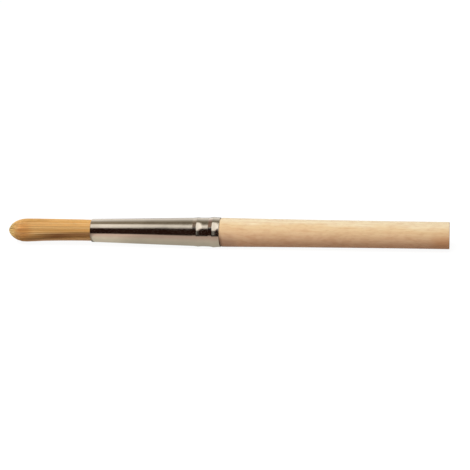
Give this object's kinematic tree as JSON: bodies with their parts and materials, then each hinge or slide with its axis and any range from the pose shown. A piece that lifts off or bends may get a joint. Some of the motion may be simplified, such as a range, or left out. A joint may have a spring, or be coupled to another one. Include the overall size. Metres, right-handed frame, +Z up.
{
  "type": "round brush",
  "caption": "Round hog-bristle brush with a plain wooden handle and a rolled, nickel-plated tapered ferrule, for stencilling and painting.",
  "frame": {"origin": "on the surface that the brush lies on, under the middle of its length", "axes": "+X along the brush's axis, from the tip of the tuft towards the end of the handle; +Z up from the surface that the brush lies on"},
  "size_m": [0.176, 0.012, 0.012],
  "materials": {
    "handle_wood": "bare, fine-sanded pale hardwood",
    "ferrule_nickel": "bright nickel plate on thin sheet",
    "bristle": "golden hog bristle, straight and slightly glossy, darker at the tip",
    "root_resin": "dark cast resin",
    "thread": "unbleached linen thread"
  },
  "bodies": {
    "root": {"handle": "handle_wood", "ferrule": "ferrule_nickel", "resin_plug": "root_resin", "binding_thread": "thread", "bristles_core": "bristle", "bristles_inner": "bristle", "bristles_middle": "bristle", "bristles_outer": "bristle"}
  },
  "joints": []
}
